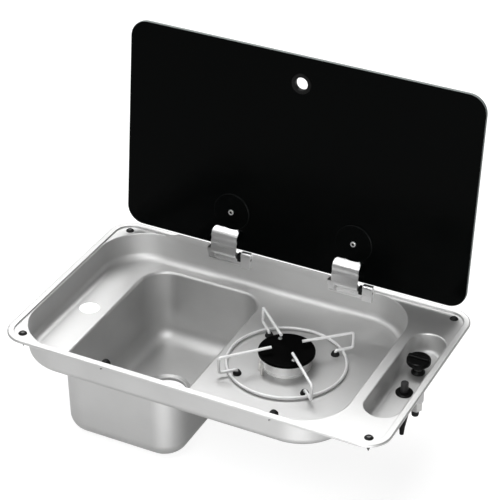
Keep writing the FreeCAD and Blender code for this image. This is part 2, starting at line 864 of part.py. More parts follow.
# Flame crown with ports round its upper edge and two posts for the cap screws
crown = tube(crown_r, crown_r - crown_wall, burner_x, burner_y, recess_floor, crown_top)
foot_top = recess_floor + crown_foot_height
crown = crown.fuse(tube(crown_r + crown_foot, crown_r - crown_wall, burner_x, burner_y, recess_floor, foot_top))
for x, y in posts:
    crown = crown.fuse(disc(post_r, x, y, recess_floor, crown_top))
crown = crown.removeSplitter()
port = box(0, crown_r + 4, -port_width / 2, port_width / 2, crown_top - port_height, crown_top)
for i in range(port_count):
    turn = 360.0 * (i + 0.5) / port_count
    away = min(abs((turn - a + 180) % 360 - 180) for a in (135, 315))
    if away > 9:
        slit = port.copy()
        slit.translate(V(crown_r - crown_wall - 1, 0, 0))
        slit.rotate(V(0, 0, 0), Z_AXIS, turn)
        slit.translate(V(burner_x, burner_y, 0))
        crown = crown.cut(slit)
screw_bottom = recess_floor + cap_screw_seat
for x, y in posts:
    crown = crown.cut(disc(cap_screw_r, x, y, screw_bottom, crown_top + 1))
save("burner_crown", crown)

# Burner cap and its two screws
cap_top = crown_top + burner_cap
plate_cap = disc(burner_cap_r, burner_x, burner_y, crown_top, cap_top)
plate_cap = plate_cap.makeFillet(burner_cap_round, edges_at(plate_cap, cap_top))
burner_screws = []
for x, y in posts:
    plate_cap = plate_cap.cut(disc(cap_screw_r, x, y, crown_top - 1, cap_top + 1))
    head_top = cap_top + cap_screw_head
    head = disc(cap_screw_head_r, x, y, cap_top, head_top)
    head = head.makeFillet(0.6, edges_at(head, head_top))
    slot_low = cap_top + cap_screw_head / 2
    slot_ends = (x - cap_screw_head_r, x + cap_screw_head_r)
    head = head.cut(box(*slot_ends, y - cap_screw_slot, y + cap_screw_slot, slot_low, head_top + 1))
    burner_screws.append(head.fuse(disc(cap_screw_r, x, y, screw_bottom, cap_top)).removeSplitter())
save("burner_cap", plate_cap)
save("burner_screws", Part.makeCompound(burner_screws))

# Injector and its holder at the end of the mixing tube
holder_in = tube_end - holder_inside
pipe_start = tube_end + holder_length
holder = along_x(tube_r - tube_wall, holder_in, tube_end, burner_y, tube_z)
holder = holder.fuse(along_x(tube_r, tube_end, pipe_start, burner_y, tube_z)).removeSplitter()
holder = holder.cut(along_x(injector_thread_r, holder_in - 1, pipe_start + 1, burner_y, tube_z))
save("injector_holder", holder)
injector_in = holder_in - injector_length
injector_end = holder_in + injector_thread
injector = along_x(injector_r, injector_in, holder_in, burner_y, tube_z)
injector = injector.fuse(along_x(injector_thread_r, holder_in, injector_end, burner_y, tube_z)).removeSplitter()
injector = injector.cut(along_x(jet_r, injector_in - 1, injector_end + 1, burner_y, tube_z))
save("injector", injector)

# Rigid gas pipe from the valve to the injector, with a nut at each end
pipe_z = tube_z
valve_side = valve_x - valve_port
pipe_path = [
    V(pipe_start, burner_y, pipe_z),
    V(pipe_start + pipe_run, burner_y, pipe_z),
    V(pipe_start + pipe_run, valve_y, pipe_z),
    V(valve_side, valve_y, pipe_z),
]
pipe_outer = bent(pipe_path, pipe_bend, pipe_r)
pipe_inner = bent(pipe_path, pipe_bend, pipe_r - pipe_wall)
save("gas_pipe", pipe_outer.cut(pipe_inner))
pipe_nuts = []
for x0, y in ((pipe_start, burner_y), (valve_side - pipe_nut_length, valve_y)):
    nut = hexagon(pipe_nut_across, 0, 0, 0, pipe_nut_length)
    nut.rotate(V(0, 0, 0), Y_AXIS, 90)
    nut.translate(V(x0, y, pipe_z))
    pipe_nuts.append(nut.cut(along_x(pipe_r, x0 - 1, x0 + pipe_nut_length + 1, y, pipe_z)))
save("pipe_nuts", Part.makeCompound(pipe_nuts))

# Spark electrode and flame sensor beside the burner, held by a clip under the floor
clip_low = recess_under - clip_sheet
toward = math.atan2(burner_y - electrode_y, burner_x - electrode_x)
ceramic = revolved(
    [
        (0, electrode_bottom),
        (electrode_r, electrode_bottom),
        (electrode_r, electrode_top - 2),
        (electrode_r - 1.2, electrode_top),
        (0, electrode_top),
    ],
    electrode_x,
    electrode_y,
)
spark_path = [
    V(electrode_x, electrode_y, electrode_top - 1),
    V(electrode_x, electrode_y, spark_z),
    V(electrode_x + 3 * math.cos(toward), electrode_y + 3 * math.sin(toward), spark_z),
]
spark_tip = bent(spark_path, 1.2, spark_r)
spark_seat = disc(spark_r, electrode_x, electrode_y, electrode_top - 1, electrode_top + 1)
save("electrode_ceramic", ceramic.cut(spark_seat))
save("electrode_tip", spark_tip)
sensor = revolved(
    [
        (0, sensor_bottom),
        (sensor_r, sensor_bottom),
        (sensor_r, sensor_top - 7.2),
        (sensor_r - 0.5, sensor_top - 6.2),
        (sensor_r - 0.5, sensor_top - 0.7),
        (sensor_r - 1.1, sensor_top),
        (0, sensor_top),
    ],
    sensor_x,
    sensor_y,
)
save("flame_sensor", sensor)
clip_rect = (electrode_x - 9, sensor_x + 9, sensor_y - 8, electrode_y + 4, 3.0)
clip = slab(clip_rect, clip_low, recess_under)
clip = clip.cut(disc(cup_flange_r + 1, burner_x, burner_y, clip_low - 1, recess_under + 1))
clip = clip.cut(disc(electrode_r, electrode_x, electrode_y, clip_low - 1, recess_under + 1))
clip = clip.cut(disc(sensor_r, sensor_x, sensor_y, clip_low - 1, recess_under + 1))
save("electrode_clip", clip.Solids[0])

# Gas valve through the slot floor, with its nut, bezel and inlet
valve = disc(valve_port, valve_x, valve_y, slot_under - valve_flange, slot_under)
valve = valve.fuse(disc(neck_r, valve_x, valve_y, slot_under, neck_top))
valve = valve.fuse(disc(valve_r, valve_x, valve_y, valve_bottom, slot_under))
valve = valve.fuse(along_x(valve_outlet_r, valve_side, valve_x, valve_y, pipe_z))
valve = valve.removeSplitter()
bore_bottom = neck_top - valve_bore
inlet_bore_r = inlet_r - inlet_wall
valve = valve.cut(disc(sleeve_r + slide_gap, valve_x, valve_y, bore_bottom, neck_top + 1))
valve = valve.cut(along_x(pipe_r - pipe_wall, valve_side - 1, valve_x, valve_y, pipe_z))
valve = valve.cut(disc(inlet_bore_r, valve_x, valve_y, valve_bottom - 1, bore_bottom + 1))
save("valve_body", valve)
nut_top = slot_floor + valve_nut_height
valve_nut = hexagon(valve_nut_across, valve_x, valve_y, slot_floor, nut_top)
valve_nut = valve_nut.cut(disc(neck_r, valve_x, valve_y, slot_floor - 1, nut_top + 1))
save("valve_nut", valve_nut)
bezel = revolved(
    [
        (neck_r + 0.3, nut_top),
        (neck_r + 0.3, neck_top),
        (bezel_r - 3, neck_top),
        (bezel_r, slot_floor + 2),
        (bezel_r, slot_floor),
        (bezel_in_r, slot_floor),
        (bezel_in_r, nut_top),
    ],
    valve_x,
    valve_y,
)
save("knob_bezel", bezel)
inlet_top = valve_bottom - inlet_nut_length
inlet_nut = hexagon(inlet_nut_across, valve_x, valve_y, inlet_top, valve_bottom)
inlet_nut = inlet_nut.cut(disc(inlet_bore_r, valve_x, valve_y, inlet_top - 1, valve_bottom + 1))
save("inlet_nut", inlet_nut)
inlet = tube(inlet_r, inlet_bore_r, valve_x, valve_y, inlet_bottom, inlet_top)
save("inlet_spigot", inlet)

# Knob: a sprung sleeve slides in the valve neck and the stem turns inside it
sleeve_top = knob_bottom - hub_gap
sleeve_bottom = bore_bottom + knob_push + end_gap
save("valve_sleeve", tube(sleeve_r, stem_r + slide_gap, valve_x, valve_y, sleeve_bottom, sleeve_top))
stem_top = knob_bottom + stem_grip
save("valve_stem", disc(stem_r, valve_x, valve_y, sleeve_bottom, stem_top))
knob = revolved(
    [
        (0, knob_bottom),
        (hub_r, knob_bottom),
        (hub_r, knob_top - knob_disc - 1),
        (knob_r - 1.5, knob_top - knob_disc),
        (knob_r, knob_top - knob_disc + 1.5),
        (knob_r, knob_top - 1),
        (knob_r - 1, knob_top),
        (0, knob_top),
    ],
    valve_x,
    valve_y,
)
grip_reach = knob_r - 1
grip_rect = (
    valve_x - grip_reach,
    valve_x + grip_reach,
    valve_y - grip_half,
    valve_y + grip_half,
    grip_corner,
)
grip = slab(grip_rect, knob_top - 2, grip_top)
grip = grip.makeFillet(grip_round, edges_at(grip, grip_top))
knob = fused([knob, grip])
knob = knob.cut(disc(stem_r, valve_x, valve_y, sleeve_bottom, stem_top))
save("knob", knob)

# Spark push button through the slot floor
piezo = revolved(
    [
        (0, piezo_tail),
        (tail_r, piezo_tail),
        (tail_neck_r, piezo_tail + tail_neck),
        (piezo_body_r, piezo_tail + tail_taper),
        (piezo_body_r, slot_floor),
        (piezo_flange_r, slot_floor),
        (piezo_flange_r, slot_floor + piezo_flange - 1.2),
        (piezo_flange_r - 1.2, slot_floor + piezo_flange),
        (button_r + slide_gap, slot_floor + piezo_flange),
        (button_r + slide_gap, slot_floor - button_bore),
        (0, slot_floor - button_bore),
    ],
    piezo_x,
    piezo_y,
)
save("piezo_body", piezo)
piezo_nut = tube(piezo_flange_r, piezo_body_r, piezo_x, piezo_y, slot_under - piezo_nut_height, slot_under)
save("piezo_nut", piezo_nut)
button_bottom = slot_floor - button_bore + button_push + end_gap
button = disc(button_r, piezo_x, piezo_y, button_bottom, button_top)
button = button.makeFillet(0.8, edges_at(button, button_top))
save("piezo_button", button)
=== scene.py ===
"""Finishes and small details for a drop-in hob and sink unit with a dark glass lid."""

import math

import bmesh
import bpy
from mathutils import Matrix, Vector


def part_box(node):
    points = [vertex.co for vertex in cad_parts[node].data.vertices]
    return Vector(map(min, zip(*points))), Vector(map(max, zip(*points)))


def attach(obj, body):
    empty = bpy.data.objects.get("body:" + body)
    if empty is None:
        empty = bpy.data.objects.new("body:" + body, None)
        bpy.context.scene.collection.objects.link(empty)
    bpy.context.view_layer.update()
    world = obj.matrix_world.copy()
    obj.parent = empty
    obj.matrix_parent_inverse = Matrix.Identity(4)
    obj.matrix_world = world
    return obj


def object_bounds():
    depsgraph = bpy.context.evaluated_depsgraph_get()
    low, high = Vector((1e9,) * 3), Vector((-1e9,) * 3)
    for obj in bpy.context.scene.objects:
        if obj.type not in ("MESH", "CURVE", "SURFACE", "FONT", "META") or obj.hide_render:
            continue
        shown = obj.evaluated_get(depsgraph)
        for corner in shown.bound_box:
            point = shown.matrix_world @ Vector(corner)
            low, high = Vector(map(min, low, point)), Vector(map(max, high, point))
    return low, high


bl_info = {
    "name": "Hob and Sink Unit",
    "version": (1, 0, 0),
    "blender": (4, 5, 0),
    "location": "3D View > Sidebar > Hob and Sink",
    "description": "Dresses a drop-in hob and sink unit with steel, glass, wire and plastic finishes",
    "category": "Object",
}

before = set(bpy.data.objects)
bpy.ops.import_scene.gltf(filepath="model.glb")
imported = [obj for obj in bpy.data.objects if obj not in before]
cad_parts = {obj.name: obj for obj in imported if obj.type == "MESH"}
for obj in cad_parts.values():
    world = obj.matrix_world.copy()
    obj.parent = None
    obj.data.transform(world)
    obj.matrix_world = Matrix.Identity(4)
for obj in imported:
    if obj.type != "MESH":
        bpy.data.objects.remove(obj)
CAD_LOW, CAD_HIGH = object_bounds()
MM = 0.001

# Fixing screws, whose single sizes the boxes of the frame don't give
SCREW_HEAD_R = 3.9 * MM
SCREW_SHANK_R = 2.0 * MM
SCREW_POINT = 5.0 * MM
FRONT_SCREW_X = 132.0 * MM
FRONT_SCREW_Z = -5.0 * MM
THREAD_SEGMENTS = 20
THREAD_SUNK = 0.2
THREAD_FLANK = 0.42

# Rubber buffers on the front caps, with the inset and drop of each point of the nose
CAP_REACH = 8.0 * MM
BUFFER_SEGMENTS = 36
BUFFER_CORE_R = 0.2 * MM
BUFFER_SUNK = 0.2 * MM
BUFFER_NOSE = ((0.1 * MM, 1.6 * MM), (0.6 * MM, 0.5 * MM), (1.8 * MM, 0.0))

# Upstand on the recess's rear wall
RECESS_STRAIGHT_LEFT = -214.4 * MM
UPSTAND_PROUD = 0.25 * MM
UPSTAND_SUNK = 0.6 * MM
UPSTAND_GAP = 0.5 * MM
UPSTAND_RAMP = 24.0 * MM
UPSTAND_TOE = 0.15
UPSTAND_FOOT = -3.0 * MM
UPSTAND_FOOT_SUNK = 0.5 * MM
UPSTAND_LAND = -1.5 * MM
UPSTAND_HEEL = 0.5 * MM
UPSTAND_ROUND = 0.4 * MM

# Lid angle, dark plugs that paint shade into the sockets of the clamp screws, and dark blocks on the
# hinge pins that paint the shade in the gaps beside the straps
LID_OPEN = math.radians(94.9)
SOCKET_R = 2.62 * MM
SOCKET_DEPTH = 0.4 * MM
SOCKET_SUNK = 0.7 * MM
FACE_TOLERANCE = 0.02 * MM
BLOCK_STRAP_GAP = 0.4 * MM
BLOCK_FAR_END = 6.2 * MM
BLOCK_WALL_GAP = 0.1 * MM
BLOCK_FRONT = 3.2 * MM
BLOCK_DOWN = 3.3 * MM
BLOCK_UP = 5.5 * MM
BLOCK_ROUND = 1.0 * MM

# Pan support's wire and its weld beads
WIRE_R = 2.25 * MM
WELD_SIDE = 2.3 * MM
WELD_RAISE = 2.1 * MM
FINGER_COUNT = 4
FIRST_FINGER_DEGREES = 45

# Barbs of the gas inlet
BARB_END_GAPS = 1.0 * MM
BARB_START = 0.3 * MM
BARB_SUNK = 0.2 * MM
BARB_FOOT = 0.1 * MM
BARB_OUT = 0.7 * MM
BARB_SHARE = 0.85

# Knob's grip ribs and pointer
RIB_WIDTH = 1.1 * MM
RIB_LENGTH = 6.6 * MM
RIB_MIDDLE_Z = -10.4 * MM
RIB_SUNK = 0.3
RIB_ROUND = 0.2 * MM
POINTER_SIZE = (7.0 * MM, 1.1 * MM, 0.3 * MM)
POINTER_OUT = 8.6 * MM
POINTER_ROUND = 0.12 * MM

# Shading
SHARP_ANGLE = math.radians(40)
WHITE = (1.0, 1.0, 1.0, 1.0)
EVEN = (1.0, 1.0, 1.0)
NOISE_RANGE = (0.3, 0.7)
UNIT_RANGE = (0.0, 1.0)
METAL_BUMP_HEIGHT = 0.2 * MM
MOULDED_BUMP_HEIGHT = 0.1 * MM
GLASS_EDGE_RANGE = (0.55, 0.95)
GLASS_ROUGHNESS = (0.16, 0.26)
GLASS_SPECULAR = 0.035

# Stage, with each lamp's name, power setting, place and size
FLOOR_HALF = 9.0
FLOOR_DROP = 0.2 * MM
SENSOR_WIDTH = 36.0
CAMERA_REACH = 50.0
LAMP_TARGET = Vector((0, 0, 0.05))
LAMPS = (
    ("left_lamp", "left_power", (-1.3, 0.2, 2.1), 1.6),
    ("corner_lamp", "corner_power", (-1.1, 0.9, 2.0), 1.4),
    ("back_lamp", "back_power", (-0.2, 1.4, 2.0), 1.6),
    ("front_lamp", "front_power", (0.0, -1.5, 2.2), 1.4),
    ("low_lamp", "low_power", (0.8, -1.8, 0.15), 0.8),
)


# Settings

class HobFinishes(bpy.types.PropertyGroup):
    """Colours and gloss of the unit's finishes."""

    steel_colour: bpy.props.FloatVectorProperty(
        name="Steel", description="Colour of the pressed steel",
        default=(0.60, 0.60, 0.597), size=3, subtype="COLOR", min=0.0, max=1.0)
    steel_roughness: bpy.props.FloatProperty(
        name="Steel roughness", description="Mean roughness of the satin steel",
        default=0.54, subtype="FACTOR", min=0.05, max=1.0)
    glass_colour: bpy.props.FloatVectorProperty(
        name="Glass", description="Colour of the lid's dark glass",
        default=(0.0006, 0.0008, 0.00075), size=3, subtype="COLOR", min=0.0, max=1.0)
    glass_edge_colour: bpy.props.FloatVectorProperty(
        name="Glass edge", description="Colour of the lid's ground edge",
        default=(0.20, 0.22, 0.215), size=3, subtype="COLOR", min=0.0, max=1.0)
    # Painted highlight: a lighter colour on the hinge pads' edges that stands in for light falling on
    # them
    pad_edge_highlight_colour: bpy.props.FloatVectorProperty(
        name="Pad edge", description="Colour of the edge of the hinge pads",
        default=(0.006, 0.0066, 0.0066), size=3, subtype="COLOR", min=0.0, max=1.0)
    hinge_colour: bpy.props.FloatVectorProperty(
        name="Hinge", description="Colour of the hinge straps and brackets",
        default=(0.72, 0.72, 0.72), size=3, subtype="COLOR", min=0.0, max=1.0)
    zinc_colour: bpy.props.FloatVectorProperty(
        name="Zinc", description="Colour of the fixing screws and hinge pins",
        default=(0.13, 0.13, 0.128), size=3, subtype="COLOR", min=0.0, max=1.0)
    bright_screw_colour: bpy.props.FloatVectorProperty(
        name="Bright screw", description="Colour of the hinge and burner screws",
        default=(0.8, 0.8, 0.8), size=3, subtype="COLOR", min=0.0, max=1.0)
    wire_colour: bpy.props.FloatVectorProperty(
        name="Wire", description="Colour of the pan support's bright wire",
        default=(0.82, 0.82, 0.82), size=3, subtype="COLOR", min=0.0, max=1.0)
    plastic_colour: bpy.props.FloatVectorProperty(
        name="Plastic", description="Colour of the black plastic",
        default=(0.0022, 0.0022, 0.0022), size=3, subtype="COLOR", min=0.0, max=1.0)
    button_colour: bpy.props.FloatVectorProperty(
        name="Button", description="Colour of the spark button",
        default=(0.02, 0.02, 0.021), size=3, subtype="COLOR", min=0.0, max=1.0)
    rubber_colour: bpy.props.FloatVectorProperty(
        name="Rubber", description="Colour of the black rubber and foam",
        default=(0.007, 0.007, 0.007), size=3, subtype="COLOR", min=0.0, max=1.0)
    enamel_colour: bpy.props.FloatVectorProperty(
        name="Enamel", description="Colour of the burner cap's enamel",
        default=(0.0004, 0.0004, 0.0004), size=3, subtype="COLOR", min=0.0, max=1.0)
    crown_colour: bpy.props.FloatVectorProperty(
        name="Crown", description="Colour of the burner's alloy crown and cup",
        default=(0.91, 0.91, 0.905), size=3, subtype="COLOR", min=0.0, max=1.0)
    glaze_colour: bpy.props.FloatVectorProperty(
        name="Glaze", description="Colour of the electrode's glazed ceramic",
        default=(0.84, 0.83, 0.8), size=3, subtype="COLOR", min=0.0, max=1.0)
    rod_colour: bpy.props.FloatVectorProperty(
        name="Rod", description="Colour of the flame sensor, the electrode's tip and its clip",
        default=(0.66, 0.65, 0.63), size=3, subtype="COLOR", min=0.0, max=1.0)
    brass_colour: bpy.props.FloatVectorProperty(
        name="Brass", description="Colour of the gas fittings",
        default=(0.66, 0.48, 0.20), size=3, subtype="COLOR", min=0.0, max=1.0)
    pipe_colour: bpy.props.FloatVectorProperty(
        name="Pipe", description="Colour of the drawn gas pipe",
        default=(0.64, 0.64, 0.63), size=3, subtype="COLOR", min=0.0, max=1.0)
    valve_colour: bpy.props.FloatVectorProperty(
        name="Valve", description="Colour of the valve's cast body",
        default=(0.6, 0.6, 0.6), size=3, subtype="COLOR", min=0.0, max=1.0)
    plated_colour: bpy.props.FloatVectorProperty(
        name="Plated nut", description="Colour of the plated nuts and the valve's stem",
        default=(0.68, 0.68, 0.67), size=3, subtype="COLOR", min=0.0, max=1.0)


class HobDetails(bpy.types.PropertyGroup):
    """Sizes of the small details that the finishes add."""

    thread_pitch: bpy.props.FloatProperty(
        name="Thread pitch", description="Pitch of the fixing screws' threads",
        default=1.5 * MM, unit="LENGTH")
    thread_depth: bpy.props.FloatProperty(
        name="Thread depth", description="Height of the fixing screws' threads",
        default=0.45 * MM, unit="LENGTH")
    corner_thread: bpy.props.FloatProperty(
        name="Corner thread", description="Threaded length of a corner screw",
        default=15.0 * MM, unit="LENGTH")
    front_thread: bpy.props.FloatProperty(
        name="Front thread", description="Threaded length of a front screw",
        default=2.2 * MM, unit="LENGTH")
    upstand_height: bpy.props.FloatProperty(
        name="Rear upstand", description="Height of the upstand behind the recess",
        default=10.3 * MM, unit="LENGTH")
    buffer_length: bpy.props.FloatProperty(
        name="Buffer length", description="Length of a rubber buffer on a front cap",
        default=9.0 * MM, unit="LENGTH")
    weld_length: bpy.props.FloatProperty(
        name="Weld length", description="Length of a weld bead on the pan support",
        default=5.0 * MM, unit="LENGTH")
    weld_width: bpy.props.FloatProperty(
        name="Weld width", description="Width of a weld bead on the pan support",
        default=2.4 * MM, unit="LENGTH")
    rib_count: bpy.props.IntProperty(
        name="Knob ribs", description="Number of grip ribs round the knob",
        default=36, min=8, max=90)
    rib_depth: bpy.props.FloatProperty(
        name="Rib depth", description="How far a grip rib stands out",
        default=0.45 * MM, unit="LENGTH")
    barb_count: bpy.props.IntProperty(
        name="Barbs", description="Number of barbs on the gas inlet",
        default=3, min=1, max=6)


class HobStage(bpy.types.PropertyGroup):
    """Camera, floor and light."""

    azimuth: bpy.props.FloatProperty(
        name="Azimuth", description="Camera angle to the right of the front",
        default=math.radians(25.80), unit="ROTATION")
    elevation: bpy.props.FloatProperty(
        name="Elevation", description="Camera angle above the horizon",
        default=math.radians(32.19), unit="ROTATION")
    roll: bpy.props.FloatProperty(
        name="Roll", description="Camera roll",
        default=math.radians(0.63), unit="ROTATION")
    distance: bpy.props.FloatProperty(
        name="Distance", description="Camera distance from its target",
        default=2.65386, unit="LENGTH")
    target: bpy.props.FloatVectorProperty(
        name="Target", description="Point at the middle of the picture",
        default=(0.038, -0.04792, 0.16955), size=3, subtype="TRANSLATION")
    lens: bpy.props.FloatProperty(
        name="Lens", description="Focal length in millimetres on a 36 mm sensor",
        default=138.0)
    floor_colour: bpy.props.FloatVectorProperty(
        name="Floor", description="Colour of the plain floor where light falls on it",
        default=(0.28, 0.28, 0.28), size=3, subtype="COLOR", min=0.0, max=1.0)
    floor_white: bpy.props.FloatProperty(
        name="Floor white", description="How white the floor is in full shadow",
        default=0.84, subtype="FACTOR", min=0.0, max=1.0)
    floor_mirror: bpy.props.FloatProperty(
        name="Floor mirror", description="How white the floor round the unit looks in its metal",
        default=0.5, subtype="FACTOR", min=0.0, max=1.0)
    # Painted shade under the unit, seen only in the unit's metal and glass
    floor_shade: bpy.props.FloatProperty(
        name="Floor shade", description="How white the floor under the unit looks in its metal",
        default=0.10, subtype="FACTOR", min=0.0, max=1.0)
    shade_width: bpy.props.FloatProperty(
        name="Shade width", description="Width over which the shade under the unit fades",
        default=0.40, unit="LENGTH")
    world_light: bpy.props.FloatProperty(
        name="Room light", description="Strength of the light from all round",
        default=0.02)
    room_mirror: bpy.props.FloatProperty(
        name="Room mirror", description="How white the room looks in the unit's metal and glass",
        default=0.12, subtype="FACTOR", min=0.0, max=1.0)
    left_power: bpy.props.FloatProperty(
        name="Left light", description="Power of the soft lamp high at the left",
        default=19.0, unit="POWER")
    corner_power: bpy.props.FloatProperty(
        name="Corner light", description="Power of the soft lamp high at the back left",
        default=14.0, unit="POWER")
    back_power: bpy.props.FloatProperty(
        name="Back light", description="Power of the soft lamp high behind the lid",
        default=42.0, unit="POWER")
    front_power: bpy.props.FloatProperty(
        name="Front light", description="Power of the soft lamp high in front",
        default=33.0, unit="POWER")
    low_power: bpy.props.FloatProperty(
        name="Low light", description="Power of the small lamp low at the front right",
        default=38.0, unit="POWER")


# Helpers for meshes

def new_piece(name, mesh_builder, body, material):
    """Turn a filled bmesh into a piece that rides on a body."""
    mesh = bpy.data.meshes.new(name)
    bmesh.ops.recalc_face_normals(mesh_builder, faces=mesh_builder.faces)
    mesh_builder.to_mesh(mesh)
    mesh_builder.free()
    for polygon in mesh.polygons:
        polygon.use_smooth = True
    mesh.set_sharp_from_angle(angle=SHARP_ANGLE)
    mesh.materials.append(material)
    piece = bpy.data.objects.new(name, mesh)
    bpy.context.scene.collection.objects.link(piece)
    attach(piece, body)
    return piece


def paint(material, *nodes):
    """Give CAD nodes a material."""
    for name in nodes:
        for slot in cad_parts[name].material_slots:
            slot.material = material


def turned_to(axis):
    """The rotation that takes Z to an axis."""
    return Vector((0, 0, 1)).rotation_difference(Vector(axis)).to_matrix()


def closed_outline(bm, profile, centre, axis):
    """A closed line of (radius, height) points about an axis through centre."""
    place = Matrix.Translation(Vector(centre)) @ turned_to(axis).to_4x4()
    verts = [bm.verts.new(place @ Vector((r, 0, z))) for r, z in profile]
    count = len(verts)
    edges = [bm.edges.new((verts[i], verts[(i + 1) % count])) for i in range(count)]
    return verts + edges


def spun_ring(bm, profile, centre, axis=(0, 0, 1), segments=48):
    """A closed ring from a profile turned about an axis through centre."""
    outline = closed_outline(bm, profile, centre, axis)
    bmesh.ops.spin(
        bm, geom=outline, cent=Vector(centre), axis=Vector(axis), angle=math.tau,
        steps=segments, use_merge=True)


def helix_ridge(bm, radius, depth, pitch, turns, start, axis):
    """A screw thread's ridge that winds from start along axis."""
    root = radius - THREAD_SUNK * depth
    flank = THREAD_FLANK * pitch
    section = [(root, -flank), (radius + depth, 0.0), (root, flank)]
    outline = closed_outline(bm, section, start, axis)
    direction = Vector(axis).normalized()
    steps = int(THREAD_SEGMENTS * turns)
    bmesh.ops.spin(
        bm, geom=outline, cent=Vector(start), axis=direction,
        dvec=direction * (pitch * turns / steps), angle=math.tau * turns, steps=steps,
        use_merge=False)
    ends = [edge for edge in bm.edges if edge.is_boundary]
    bmesh.ops.holes_fill(bm, edges=ends, sides=len(section))


def new_box(bm, size, centre=(0, 0, 0)):
    """The corners of a box of a size about centre."""
    corners = bmesh.ops.create_cube(bm, size=1.0)["verts"]
    bmesh.ops.scale(bm, verts=corners, vec=size)
    bmesh.ops.translate(bm, verts=corners, vec=centre)
    return corners


def round_edges(bm, offset, segments):
    """Round every edge."""
    bmesh.ops.bevel(
        bm, geom=list(bm.edges), offset=offset, affect="EDGES", segments=segments,
        profile=0.5, material=-1)


# Helpers for materials

def new_finish(name):
    """An empty material, its tree and its shader."""
    material = bpy.data.materials.new(name)
    material.use_nodes = True
    return material, material.node_tree, material.node_tree.nodes["Principled BSDF"]


def place_pattern(tree, scale=EVEN):
    """Object coordinates through a Mapping node."""
    coordinates = tree.nodes.new("ShaderNodeTexCoord")
    mapping = tree.nodes.new("ShaderNodeMapping")
    mapping.inputs["Scale"].default_value = scale
    tree.links.new(coordinates.outputs["Object"], mapping.inputs["Vector"])
    return mapping.outputs["Vector"]


def noise(tree, vector, scale, detail):
    """Noise factor at a scale."""
    node = tree.nodes.new("ShaderNodeTexNoise")
    node.inputs["Scale"].default_value = scale
    node.inputs["Detail"].default_value = detail
    node.inputs["Roughness"].default_value = 0.55
    tree.links.new(vector, node.inputs["Vector"])
    return node.outputs["Fac"]


def sum_node(tree, kind, operation, values):
    """A Math or Vector Math node fed by links or plain values."""
    node = tree.nodes.new(kind)
    node.operation = operation
    for socket, value in zip(node.inputs, values):
        if isinstance(value, bpy.types.NodeSocket):
            tree.links.new(value, socket)
        else:
            socket.default_value = value
    return node


def number_math(tree, operation, *values):
    """The number that a Math node gives."""
    return sum_node(tree, "ShaderNodeMath", operation, values).outputs["Value"]


def vector_math(tree, operation, *values, output="Vector"):
    """The vector, or with output Value the number, that a Vector Math node gives."""
    return sum_node(tree, "ShaderNodeVectorMath", operation, values).outputs[output]


def map_range(tree, value, source, target, interpolation="LINEAR"):
    """Map a value from one range to another."""
    node = tree.nodes.new("ShaderNodeMapRange")
    node.interpolation_type = interpolation
    node.inputs["From Min"].default_value, node.inputs["From Max"].default_value = source
    node.inputs["To Min"].default_value, node.inputs["To Max"].default_value = target
    tree.links.new(value, node.inputs["Value"])
    return node.outputs["Result"]


def blend_colours(tree, factor, source, first, second):
    """A colour that goes from first to second as a factor crosses a range."""
    ramp = tree.nodes.new("ShaderNodeValToRGB")
    for element, position, colour in zip(ramp.color_ramp.elements, source, (first, second)):
        element.position = position
        element.color = (*colour, 1.0)
    tree.links.new(factor, ramp.inputs["Fac"])
    return ramp.outputs["Color"]


def tint(tree, factor, colour, low, high):
    """A colour that varies from low to high times itself with a noise factor."""
    darker = [min(1.0, channel * low) for channel in colour]
    lighter = [min(1.0, channel * high) for channel in colour]
    return blend_colours(tree, factor, NOISE_RANGE, darker, lighter)


def raise_surface(tree, shader, height, strength, distance):
    """Bump the shader's normal by a height."""
    node = tree.nodes.new("ShaderNodeBump")
    node.inputs["Strength"].default_value = strength
    node.inputs["Distance"].default_value = distance
    tree.links.new(height, node.inputs["Height"])
    tree.links.new(node.outputs["Normal"], shader.inputs["Normal"])


def satin_metal(name, colour, roughness, grain=(40.0, 1400.0, 1400.0), bump=0.05, metallic=1.0):
    """Metal with a fine grain and faint smudges."""
    material, tree, shader = new_finish(name)
    streaks = noise(tree, place_pattern(tree, grain), scale=1.0, detail=3.0)
    smudges = noise(tree, place_pattern(tree), scale=14.0, detail=5.0)
    gloss = map_range(tree, streaks, NOISE_RANGE, (roughness - 0.03, roughness + 0.03))
    shader.inputs["Metallic"].default_value = metallic
    tree.links.new(tint(tree, smudges, colour, 0.97, 1.03), shader.inputs["Base Color"])
    tree.links.new(gloss, shader.inputs["Roughness"])
    raise_surface(tree, shader, streaks, bump, METAL_BUMP_HEIGHT)
    return material


def moulded_black(name, colour, roughness, grain_scale, bump, specular=0.5):
    """Moulded plastic or rubber with a fine matt grain."""
    material, tree, shader = new_finish(name)
    vector = place_pattern(tree)
    grain = noise(tree, vector, scale=grain_scale, detail=2.0)
    wear = noise(tree, vector, scale=60.0, detail=4.0)
    gloss = map_range(tree, wear, NOISE_RANGE, (roughness - 0.05, roughness + 0.06))
    shader.inputs["Specular IOR Level"].default_value = specular
    tree.links.new(tint(tree, wear, colour, 0.8, 1.25), shader.inputs["Base Color"])
    tree.links.new(gloss, shader.inputs["Roughness"])
    raise_surface(tree, shader, grain, bump, MOULDED_BUMP_HEIGHT)
    return material


